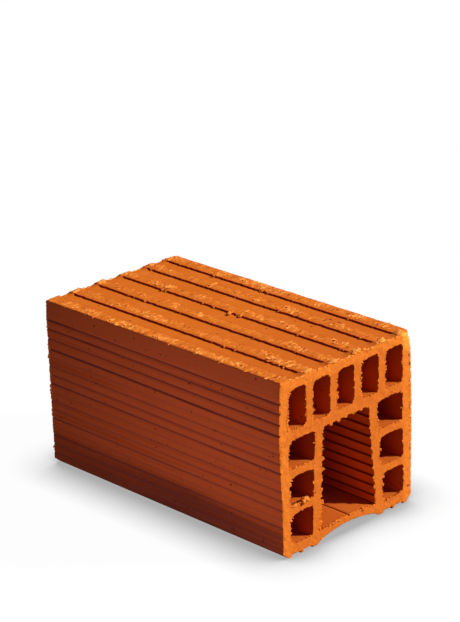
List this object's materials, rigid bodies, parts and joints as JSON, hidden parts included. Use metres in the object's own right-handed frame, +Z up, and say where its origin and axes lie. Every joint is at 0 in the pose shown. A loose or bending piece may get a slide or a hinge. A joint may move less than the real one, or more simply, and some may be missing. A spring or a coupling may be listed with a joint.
{
  "type": "hollow clay brick",
  "caption": "Extruded hollow clay block with rows of cells around a large ridged cavity over a thin knock-out panel, grooved sides and ribbed beds, for walls and tie beams.",
  "frame": {"origin": "middle of the underside, on the level of the bed ribs", "axes": "+X along the block and its holes, towards one cut end; +Y across it; +Z up, out of the top bed"},
  "size_m": [0.33, 0.18, 0.18],
  "materials": {
    "fired_clay": "fired red-orange clay, matt, smooth where the die pressed it and torn where the wire cut it"
  },
  "bodies": {
    "root": {"clay_brick": "fired_clay"}
  },
  "joints": []
}
